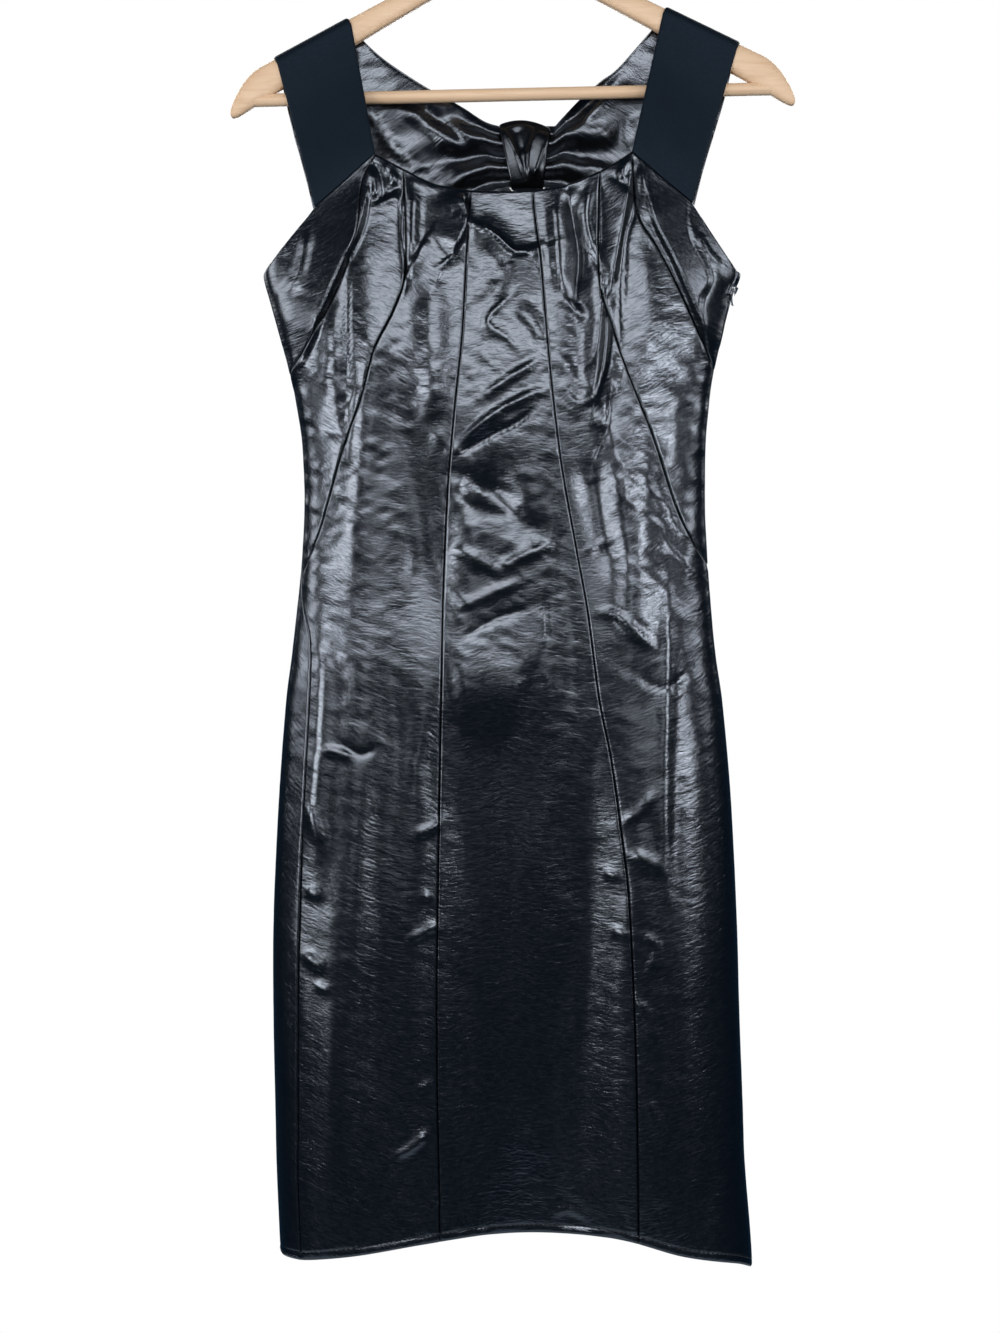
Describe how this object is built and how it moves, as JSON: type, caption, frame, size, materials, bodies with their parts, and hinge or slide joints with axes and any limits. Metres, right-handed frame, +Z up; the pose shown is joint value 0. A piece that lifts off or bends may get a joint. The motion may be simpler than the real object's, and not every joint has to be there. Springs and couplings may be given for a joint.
{
  "type": "cocktail dress on a wooden hanger",
  "caption": "Sleeveless black satin sheath dress with wide straps, pleated neckline, princess seams and a knotted back neck, on a wooden hanger with a trouser bar.",
  "frame": {"origin": "the hang point: the inner top of the hanger's hook, where a rail carries it", "axes": "+Z up; the dress's front faces -Y; the wearer's left side is at +X"},
  "size_m": [0.4389, 0.1162, 1.1004],
  "materials": {
    "satin": "hammered black satin, glossy",
    "satin_matte": "black satin, dull side",
    "wood": "pale varnished wood",
    "steel": "bright nickel"
  },
  "bodies": {
    "dress": {"front_center": "satin", "front_mid_r": "satin", "front_mid_l": "satin", "front_side_r": "satin", "front_side_l": "satin", "front_yoke_r": "satin", "front_yoke_l": "satin", "strap_r": "satin_matte", "strap_l": "satin_matte", "back_drape_r": "satin", "back_drape_l": "satin", "knot": "satin_matte", "back_r": "satin", "back_l": "satin", "zip_slider": "steel", "hanger_arms": "wood", "hanger_bar": "wood", "hanger_hook": "steel"},
    "pull": {"zip_pull": "steel"}
  },
  "joints": [
    {"name": "zip_pull_swing", "type": "hinge", "parent": "dress", "child": "pull", "pos_m": [0.17556, -0.01625, -0.34238], "axis": [-0.5823, -0.776, 0.2423], "range_deg": [-15, 115]}
  ]
}
